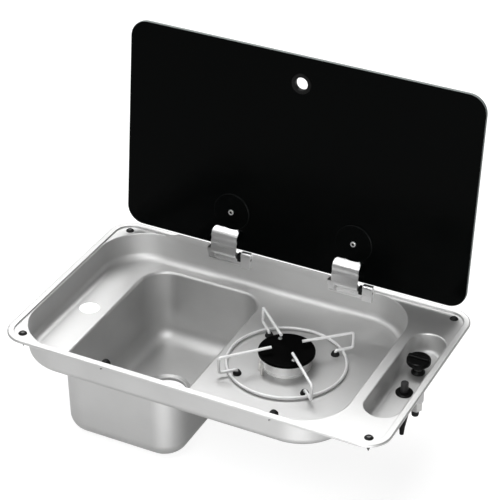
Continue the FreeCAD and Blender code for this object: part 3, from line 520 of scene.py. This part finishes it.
def dark_glass(name, colour, edge_colour):
    """Glass of the open lid, dark on its two faces, with an edge of another colour: the lid's own
    ground edge, and on the hinge pads a painted highlight.
    """
    material, tree, shader = new_finish(name)
    lean = LID_OPEN - math.pi / 2
    across = (0.0, math.cos(lean), math.sin(lean))
    normal = tree.nodes.new("ShaderNodeTexCoord").outputs["Normal"]
    facing = vector_math(tree, "DOT_PRODUCT", normal, across, output="Value")
    either_face = number_math(tree, "ABSOLUTE", facing)
    shown = blend_colours(tree, either_face, GLASS_EDGE_RANGE, edge_colour, colour)
    film = noise(tree, place_pattern(tree), scale=6.0, detail=6.0)
    gloss = map_range(tree, film, NOISE_RANGE, GLASS_ROUGHNESS)
    shader.inputs["Specular IOR Level"].default_value = GLASS_SPECULAR
    tree.links.new(shown, shader.inputs["Base Color"])
    tree.links.new(gloss, shader.inputs["Roughness"])
    return material


# Operators

class HOB_OT_stage(bpy.types.Operator):
    """Set the floor, the light and the camera"""

    bl_idname = "hob.stage"
    bl_label = "Stage"

    def execute(self, context):
        stage = context.scene.hob_stage
        self.add_floor(context, stage)
        self.light_world(context, stage)
        for name, power, place, size in LAMPS:
            self.add_lamp(context, name, Vector(place), size, getattr(stage, power))
        self.add_camera(context, stage)
        context.scene.view_settings.view_transform = "Standard"
        return {"FINISHED"}

    def add_floor(self, context, stage):
        """A plain pale floor just under the unit."""
        bm = bmesh.new()
        bmesh.ops.create_grid(bm, x_segments=2, y_segments=2, size=FLOOR_HALF)
        bmesh.ops.translate(bm, verts=bm.verts, vec=(0, 0, CAD_LOW.z - FLOOR_DROP))
        mesh = bpy.data.meshes.new("floor")
        bm.to_mesh(mesh)
        bm.free()
        material, tree, shader = new_finish("floor_pale")
        shader.inputs["Base Color"].default_value = (*stage.floor_colour, 1.0)
        shader.inputs["Roughness"].default_value = 0.9
        shader.inputs["Specular IOR Level"].default_value = 0.1
        shader.inputs["Emission Color"].default_value = WHITE
        tree.links.new(self.floor_glow(tree, stage), shader.inputs["Emission Strength"])
        mesh.materials.append(material)
        floor = bpy.data.objects.new("floor", mesh)
        context.scene.collection.objects.link(floor)

    def floor_glow(self, tree, stage):
        """White for the camera, and for reflections a white that fades to a painted shade under the
        unit, on top of the floor's real shadow.
        """
        low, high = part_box("rim_seal")
        inner = (high - low) / 2 - Vector((0.5, 0.5, 0.0)) * stage.shade_width
        corner = (inner.x, inner.y, -CAD_LOW.z)
        place = tree.nodes.new("ShaderNodeTexCoord").outputs["Object"]
        one_quarter = vector_math(tree, "ABSOLUTE", place)
        past_corner = vector_math(tree, "SUBTRACT", one_quarter, corner)
        outside = vector_math(tree, "MAXIMUM", past_corner)
        away = vector_math(tree, "LENGTH", outside, output="Value")
        shade = map_range(
            tree, away, (0.0, stage.shade_width), (stage.floor_shade, stage.floor_mirror),
            interpolation="SMOOTHSTEP")
        return self.background(tree, stage.floor_white, shade)

    def background(self, tree, seen, mirrored):
        """One strength for the camera and another for rays that metal and glass send on."""
        ray = tree.nodes.new("ShaderNodeLightPath").outputs
        sent_on = number_math(
            tree, "MAXIMUM", ray["Is Glossy Ray"], ray["Is Transmission Ray"])
        return number_math(
            tree, "MAXIMUM",
            number_math(tree, "MULTIPLY", ray["Is Camera Ray"], seen),
            number_math(tree, "MULTIPLY", sent_on, mirrored))

    def light_world(self, context, stage):
        """A dim room that is white to the camera and partly white in metal and glass."""
        world = bpy.data.worlds.new("room")
        context.scene.world = world
        world.use_nodes = True
        tree = world.node_tree
        room = tree.nodes["Background"]
        room.inputs["Color"].default_value = WHITE
        shown = self.background(tree, 1.0, stage.room_mirror)
        strength = map_range(tree, shown, UNIT_RANGE, (stage.world_light, 1.0))
        tree.links.new(strength, room.inputs["Strength"])

    def add_lamp(self, context, name, place, size, power):
        """A square soft lamp that points at the unit."""
        light = bpy.data.lights.new(name, "AREA")
        light.shape = "SQUARE"
        light.size = size
        light.energy = power
        lamp = bpy.data.objects.new(name, light)
        lamp.location = place
        lamp.rotation_euler = (LAMP_TARGET - place).to_track_quat("-Z", "Y").to_euler()
        context.scene.collection.objects.link(lamp)

    def add_camera(self, context, stage):
        """The camera at the photograph's viewing angle."""
        camera_data = bpy.data.cameras.new("camera")
        camera_data.lens = stage.lens
        camera_data.sensor_width = SENSOR_WIDTH
        camera_data.clip_end = CAMERA_REACH
        camera = bpy.data.objects.new("camera", camera_data)
        back = Vector((
            math.sin(stage.azimuth) * math.cos(stage.elevation),
            -math.cos(stage.azimuth) * math.cos(stage.elevation),
            math.sin(stage.elevation)))
        aim = (-back).to_track_quat("-Z", "Y").to_matrix().to_4x4()
        place = Matrix.Translation(Vector(stage.target) + back * stage.distance)
        camera.matrix_world = place @ aim @ Matrix.Rotation(stage.roll, 4, "Z")
        context.scene.collection.objects.link(camera)
        context.scene.camera = camera


class HOB_OT_tray(bpy.types.Operator):
    """Finish the pressed tray, the bowl and the seals, and add the rear upstand"""

    bl_idname = "hob.tray"
    bl_label = "Tray and Bowl"

    def execute(self, context):
        finishes = context.scene.hob_finishes
        steel = satin_metal("tray_satin_steel", finishes.steel_colour, finishes.steel_roughness)
        pressed = ("tray_", "sink_bowl_")
        paint(steel, *[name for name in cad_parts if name.startswith(pressed)])
        foam = moulded_black(
            "seal_foam", finishes.rubber_colour, roughness=0.85, grain_scale=900.0, bump=0.5,
            specular=0.25)
        paint(foam, "rim_seal", "burner_gasket")
        self.add_upstand(context.scene.hob_details, steel)
        return {"FINISHED"}

    def add_upstand(self, details, steel):
        """A low upstand on the recess's rear wall, beside the hinges and below the open lid."""
        left_low, left_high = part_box("hinge_bracket_left")
        right_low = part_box("hinge_bracket_right")[0]
        wall = left_high.y
        top = details.upstand_height
        front = wall - UPSTAND_PROUD
        back = wall + UPSTAND_SUNK
        section = (
            (wall + UPSTAND_FOOT_SUNK, UPSTAND_FOOT),
            (wall, UPSTAND_FOOT),
            (front, UPSTAND_LAND),
            (front, top - UPSTAND_ROUND),
            (wall, top),
            (wall + UPSTAND_ROUND, top),
            (back, top - UPSTAND_ROUND),
            (back, UPSTAND_HEEL))
        before_left = left_low.x - UPSTAND_GAP
        after_left = left_high.x + UPSTAND_GAP
        before_right = right_low.x - UPSTAND_GAP
        bm = bmesh.new()
        self.add_run(bm, section, RECESS_STRAIGHT_LEFT, UPSTAND_RAMP, before_left)
        self.add_run(bm, section, after_left, 0.0, before_right)
        new_piece("rear_upstand", bm, "unit", steel)

    def add_run(self, bm, section, start, ramp, end):
        """Sweep the upstand's section along X, rising from its toe over the ramp."""
        toe = UPSTAND_TOE if ramp else 1.0
        corners = [(start, y, z * toe if z > 0 else z) for y, z in section]
        face = bm.faces.new([bm.verts.new(corner) for corner in corners])
        steps = [(ramp, 1 / toe)] if ramp else []
        steps.append((end - start - ramp, 1.0))
        swept = []
        for length, rise in steps:
            moved = bmesh.ops.extrude_face_region(bm, geom=[face])["geom"]
            verts = [item for item in moved if isinstance(item, bmesh.types.BMVert)]
            face = next(item for item in moved if isinstance(item, bmesh.types.BMFace))
            raised = [vert for vert in verts if vert.co.z > 0]
            bmesh.ops.translate(bm, verts=verts, vec=(length, 0, 0))
            bmesh.ops.scale(bm, verts=raised, vec=(1, 1, rise))
            swept.append(face)
        inner = swept[:-1]
        bmesh.ops.delete(bm, geom=inner, context="FACES_ONLY")


class HOB_OT_fixings(bpy.types.Operator):
    """Finish the fixing screws and caps, cut the threads and add the front buffers"""

    bl_idname = "hob.fixings"
    bl_label = "Fixings"

    def execute(self, context):
        finishes = context.scene.hob_finishes
        details = context.scene.hob_details
        zinc = satin_metal(
            "screw_zinc", finishes.zinc_colour, roughness=0.5, grain=(900.0, 900.0, 900.0))
        paint(zinc, "fixing_screws", "hinge_pin_left", "hinge_pin_right")
        rubber = moulded_black(
            "cap_rubber", finishes.rubber_colour, roughness=0.55, grain_scale=1200.0, bump=0.2,
            specular=0.2)
        paint(rubber, "fixing_caps", "grommets")
        self.add_threads(details, zinc)
        self.add_buffers(details, rubber)
        return {"FINISHED"}

    def add_threads(self, details, zinc):
        """Threads of the four corner screws and the two front screws."""
        low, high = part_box("fixing_screws")
        corner_x = high.x - SCREW_HEAD_R
        corner_y = high.y - SCREW_HEAD_R
        corner_z = low.z + SCREW_POINT + details.corner_thread
        front_y = low.y + SCREW_POINT + details.front_thread
        thread = (SCREW_SHANK_R, details.thread_depth, details.thread_pitch)
        corner_turns = details.corner_thread / details.thread_pitch
        front_turns = details.front_thread / details.thread_pitch
        bm = bmesh.new()
        for x in (-corner_x, corner_x):
            for y in (-corner_y, corner_y):
                helix_ridge(bm, *thread, corner_turns, (x, y, corner_z), (0, 0, -1))
        for x in (-FRONT_SCREW_X, FRONT_SCREW_X):
            helix_ridge(bm, *thread, front_turns, (x, front_y, FRONT_SCREW_Z), (0, -1, 0))
        new_piece("fixing_threads", bm, "unit", zinc)

    def add_buffers(self, details, rubber):
        """Round rubber buffers on the caps of the two front fixings."""
        points = [vertex.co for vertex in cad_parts["fixing_caps"].data.vertices]
        front = [
            point for point in points
            if abs(abs(point.x) - FRONT_SCREW_X) < CAP_REACH and point.y < 0]
        seat = max(point.y for point in front)
        radius = max(abs(point.x) for point in front) - FRONT_SCREW_X
        length = details.buffer_length
        nose = [(radius - inset, length - drop) for inset, drop in BUFFER_NOSE]
        foot = [(BUFFER_CORE_R, -BUFFER_SUNK), (nose[0][0], -BUFFER_SUNK)]
        profile = foot + nose + [(BUFFER_CORE_R, length)]
        bm = bmesh.new()
        for x in (-FRONT_SCREW_X, FRONT_SCREW_X):
            spun_ring(
                bm, profile, (x, seat, FRONT_SCREW_Z), axis=(0, 1, 0),
                segments=BUFFER_SEGMENTS)
        new_piece("front_buffers", bm, "unit", rubber)


class HOB_OT_lid(bpy.types.Operator):
    """Finish the glass lid, its finger ring and the pads and caps of its clamps"""

    bl_idname = "hob.lid"
    bl_label = "Glass Lid"

    def execute(self, context):
        finishes = context.scene.hob_finishes
        glass = dark_glass("lid_dark_glass", finishes.glass_colour, finishes.glass_edge_colour)
        paint(glass, "lid_glass")
        # Hinge pads in the dark glass finish, with a painted highlight on their edges
        gloss = dark_glass("pad_gloss", finishes.glass_colour, finishes.pad_edge_highlight_colour)
        paint(gloss, "hinge_pads")
        ring = moulded_black(
            "ring_plastic", finishes.plastic_colour, roughness=0.4, grain_scale=900.0, bump=0.05,
            specular=0.15)
        paint(ring, "finger_ring_top", "finger_ring_bottom", "hinge_caps")
        return {"FINISHED"}


class HOB_OT_hinges(bpy.types.Operator):
    """Finish the hinges and bright screws, and add dark plugs and rubber blocks as painted shade in
    the clamp sockets and beside the straps
    """

    bl_idname = "hob.hinges"
    bl_label = "Hinges"

    def execute(self, context):
        finishes = context.scene.hob_finishes
        satin = satin_metal(
            "hinge_satin", finishes.hinge_colour, roughness=0.3, grain=(60.0, 1500.0, 1500.0),
            bump=0.006)
        for side in ("left", "right"):
            paint(satin, "hinge_strap_" + side, "hinge_bracket_" + side)
        bright = satin_metal(
            "screw_bright", finishes.bright_screw_colour, roughness=0.3,
            grain=(900.0, 900.0, 900.0))
        paint(bright, "hinge_screws", "burner_screws")
        # Black rubber for painted shade: plugs in the clamp sockets and blocks in the gaps beside the
        # straps
        rubber = moulded_black(
            "hinge_rubber", finishes.rubber_colour, roughness=0.6, grain_scale=1200.0, bump=0.2,
            specular=0.1)
        self.add_socket_shade_plugs(rubber)
        self.add_gap_shade_blocks(rubber)
        return {"FINISHED"}

    def add_socket_shade_plugs(self, material):
        """Painted shade: dark plugs in the hexagon sockets of the two clamp screws, to darken them.
        """
        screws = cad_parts["hinge_screws"].data
        out = Vector((0.0, -math.sin(LID_OPEN), -math.cos(LID_OPEN)))
        bm = bmesh.new()
        for side in (-1, 1):
            points = [vertex.co for vertex in screws.vertices if vertex.co.x * side > 0]
            face = max(point.dot(out) for point in points)
            rim = [point for point in points if face - point.dot(out) < FACE_TOLERANCE]
            centre = sum(rim, Vector()) / len(rim)
            plug = bmesh.ops.create_cone(
                bm, cap_ends=True, segments=6, radius1=SOCKET_R, radius2=SOCKET_R,
                depth=SOCKET_DEPTH)["verts"]
            bmesh.ops.rotate(bm, verts=plug, cent=(0, 0, 0), matrix=turned_to(out))
            bmesh.ops.translate(bm, verts=plug, vec=centre - out * SOCKET_SUNK)
        new_piece("clamp_sockets", bm, "lid", material)

    def add_gap_shade_blocks(self, material):
        """Painted shade: dark rubber blocks on the hinge pins that fill the shadowed gap between each
        strap and its bracket's tab.
        """
        bm = bmesh.new()
        for side in ("left", "right"):
            pin_low, pin_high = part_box("hinge_pin_" + side)
            strap_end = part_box("hinge_strap_" + side)[1].x
            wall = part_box("hinge_bracket_" + side)[1].y
            low = Vector((
                strap_end + BLOCK_STRAP_GAP, pin_low.y - BLOCK_FRONT, pin_low.z - BLOCK_DOWN))
            high = Vector((
                strap_end + BLOCK_FAR_END, wall - BLOCK_WALL_GAP, pin_high.z + BLOCK_UP))
            new_box(bm, high - low, (low + high) / 2)
        round_edges(bm, BLOCK_ROUND, segments=3)
        new_piece("hinge_blocks", bm, "unit", material)


class HOB_OT_pan_support(bpy.types.Operator):
    """Finish the wire pan support and weld its fingers to the ring"""

    bl_idname = "hob.pan_support"
    bl_label = "Pan Support"

    def execute(self, context):
        finishes = context.scene.hob_finishes
        wire = satin_metal(
            "wire_bright", finishes.wire_colour, roughness=0.5, grain=(300.0, 300.0, 300.0),
            bump=0.02, metallic=0.35)
        paint(wire, "pan_support_ring", "pan_support_fingers")
        self.add_welds(context.scene.hob_details, wire)
        return {"FINISHED"}

    def add_welds(self, details, wire):
        """Two weld beads where each finger crosses the ring."""
        low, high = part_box("pan_support_ring")
        centre = (low + high) / 2
        ring_radius = (high.x - low.x) / 2 - WIRE_R
        bead_size = (details.weld_length, details.weld_width, details.weld_width)
        bm = bmesh.new()
        for k in range(FINGER_COUNT):
            angle = math.radians(FIRST_FINGER_DEGREES + 360 / FINGER_COUNT * k)
            turn = Matrix.Rotation(angle, 3, "Z")
            for side in (-1, 1):
                place = (ring_radius, side * WELD_SIDE, WELD_RAISE)
                bead = bmesh.ops.create_icosphere(bm, subdivisions=3, radius=0.5)["verts"]
                bmesh.ops.scale(bm, verts=bead, vec=bead_size)
                bmesh.ops.translate(bm, verts=bead, vec=place)
                bmesh.ops.rotate(bm, verts=bead, cent=(0, 0, 0), matrix=turn)
                bmesh.ops.translate(bm, verts=bead, vec=centre)
        new_piece("support_welds", bm, "pan_support", wire)


class HOB_OT_burner(bpy.types.Operator):
    """Finish the burner, its spark electrode and its flame sensor"""

    bl_idname = "hob.burner"
    bl_label = "Burner"

    def execute(self, context):
        finishes = context.scene.hob_finishes
        enamel = moulded_black(
            "cap_enamel", finishes.enamel_colour, roughness=0.45, grain_scale=2500.0, bump=0.04,
            specular=0.03)
        paint(enamel, "burner_cap")
        crown = satin_metal(
            "crown_alloy", finishes.crown_colour, roughness=0.42, grain=(1200.0, 1200.0, 60.0),
            metallic=0.6)
        paint(crown, "burner_crown", "burner_cup")
        paint(self.glazed_ceramic(finishes.glaze_colour), "electrode_ceramic")
        rod = satin_metal(
            "sensor_rod", finishes.rod_colour, roughness=0.3, grain=(1200.0, 1200.0, 1200.0))
        paint(rod, "flame_sensor", "electrode_tip", "electrode_clip")
        return {"FINISHED"}

    def glazed_ceramic(self, colour):
        """Pale glaze with fine spots."""
        glaze, tree, shader = new_finish("electrode_glaze")
        spots = noise(tree, place_pattern(tree), scale=400.0, detail=3.0)
        tree.links.new(tint(tree, spots, colour, 0.94, 1.03), shader.inputs["Base Color"])
        shader.inputs["Roughness"].default_value = 0.22
        return glaze


class HOB_OT_gas(bpy.types.Operator):
    """Finish the gas pipe, the fittings and the valve, with barbs on the inlet"""

    bl_idname = "hob.gas"
    bl_label = "Gas Pipe and Valve"

    def execute(self, context):
        finishes = context.scene.hob_finishes
        brass = satin_metal(
            "fitting_brass", finishes.brass_colour, roughness=0.28,
            grain=(1000.0, 1000.0, 1000.0))
        paint(brass, "injector", "injector_holder", "pipe_nuts")
        drawn = satin_metal(
            "pipe_drawn", finishes.pipe_colour, roughness=0.3, grain=(80.0, 80.0, 900.0))
        paint(drawn, "gas_pipe")
        cast = satin_metal(
            "valve_cast", finishes.valve_colour, roughness=0.42, grain=(500.0, 500.0, 500.0),
            bump=0.2)
        paint(cast, "valve_body")
        plated = satin_metal(
            "nut_plated", finishes.plated_colour, roughness=0.24, grain=(900.0, 900.0, 900.0))
        paint(plated, "valve_nut", "inlet_nut", "valve_sleeve", "valve_stem")
        stub = moulded_black(
            "inlet_black", finishes.plastic_colour, roughness=0.45, grain_scale=1200.0, bump=0.1)
        paint(stub, "inlet_spigot")
        self.add_barbs(context.scene.hob_details, stub)
        return {"FINISHED"}

    def add_barbs(self, details, stub):
        """Tapered barbs round the inlet spigot."""
        low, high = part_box("inlet_spigot")
        centre = (low + high) / 2
        radius = (high.x - low.x) / 2
        step = (high.z - low.z - BARB_END_GAPS) / details.barb_count
        height = step * BARB_SHARE
        profile = [
            (radius - BARB_SUNK, 0.0),
            (radius + BARB_FOOT, 0.0),
            (radius + BARB_OUT, height),
            (radius - BARB_SUNK, height)]
        bm = bmesh.new()
        for k in range(details.barb_count):
            spun_ring(bm, profile, (centre.x, centre.y, low.z + BARB_START + k * step))
        new_piece("inlet_barbs", bm, "unit", stub)


class HOB_OT_controls(bpy.types.Operator):
    """Finish the knob and the spark button, with grip ribs and a pointer on the knob"""

    bl_idname = "hob.controls"
    bl_label = "Knob and Button"

    def execute(self, context):
        finishes = context.scene.hob_finishes
        plastic = moulded_black(
            "knob_plastic", finishes.plastic_colour, roughness=0.34, grain_scale=1500.0, bump=0.08,
            specular=0.16)
        paint(plastic, "knob", "knob_bezel", "piezo_body", "piezo_nut")
        button = moulded_black(
            "button_plastic", finishes.button_colour, roughness=0.4, grain_scale=1500.0, bump=0.08,
            specular=0.4)
        paint(button, "piezo_button")
        low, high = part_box("knob")
        centre = (low + high) / 2
        self.add_ribs(context.scene.hob_details, centre, (high.x - low.x) / 2, plastic)
        self.add_pointer(centre, high.z, plastic)
        return {"FINISHED"}

    def add_ribs(self, details, centre, radius, plastic):
        """Upright grip ribs round the knob."""
        size = (2 * details.rib_depth, RIB_WIDTH, RIB_LENGTH)
        place = (radius - RIB_SUNK * details.rib_depth, 0, RIB_MIDDLE_Z)
        bm = bmesh.new()
        for k in range(details.rib_count):
            turn = Matrix.Rotation(math.tau * k / details.rib_count, 3, "Z")
            rib = new_box(bm, size, place)
            bmesh.ops.rotate(bm, verts=rib, cent=(0, 0, 0), matrix=turn)
            bmesh.ops.translate(bm, verts=rib, vec=(centre.x, centre.y, 0))
        round_edges(bm, RIB_ROUND, segments=2)
        new_piece("knob_ribs", bm, "knob_grip", plastic)

    def add_pointer(self, centre, top, plastic):
        """A low raised bar on the knob's top."""
        bm = bmesh.new()
        new_box(bm, POINTER_SIZE)
        round_edges(bm, POINTER_ROUND, segments=2)
        bmesh.ops.translate(bm, verts=bm.verts, vec=(centre.x - POINTER_OUT, centre.y, top))
        new_piece("knob_pointer", bm, "knob_grip", plastic)


class HOB_PT_panel(bpy.types.Panel):
    """Lists the unit's finishing steps"""

    bl_idname = "HOB_PT_panel"
    bl_label = "Hob and Sink"
    bl_space_type = "VIEW_3D"
    bl_region_type = "UI"
    bl_category = "Hob and Sink"

    def draw(self, context):
        for operator in OPERATORS:
            self.layout.operator(operator.bl_idname)


OPERATORS = (
    HOB_OT_stage,
    HOB_OT_tray,
    HOB_OT_fixings,
    HOB_OT_lid,
    HOB_OT_hinges,
    HOB_OT_pan_support,
    HOB_OT_burner,
    HOB_OT_gas,
    HOB_OT_controls,
)
GROUPS = (HobFinishes, HobDetails, HobStage)


def register():
    for group in GROUPS:
        bpy.utils.register_class(group)
    for operator in OPERATORS:
        bpy.utils.register_class(operator)
    bpy.utils.register_class(HOB_PT_panel)
    bpy.types.Scene.hob_finishes = bpy.props.PointerProperty(type=HobFinishes)
    bpy.types.Scene.hob_details = bpy.props.PointerProperty(type=HobDetails)
    bpy.types.Scene.hob_stage = bpy.props.PointerProperty(type=HobStage)


def unregister():
    del bpy.types.Scene.hob_stage
    del bpy.types.Scene.hob_details
    del bpy.types.Scene.hob_finishes
    bpy.utils.unregister_class(HOB_PT_panel)
    for operator in reversed(OPERATORS):
        bpy.utils.unregister_class(operator)
    for group in reversed(GROUPS):
        bpy.utils.unregister_class(group)


def main():
    register()
    bpy.ops.hob.stage()
    bpy.ops.hob.tray()
    bpy.ops.hob.fixings()
    bpy.ops.hob.lid()
    bpy.ops.hob.hinges()
    bpy.ops.hob.pan_support()
    bpy.ops.hob.burner()
    bpy.ops.hob.gas()
    bpy.ops.hob.controls()


if __name__ == "__main__":
    main()
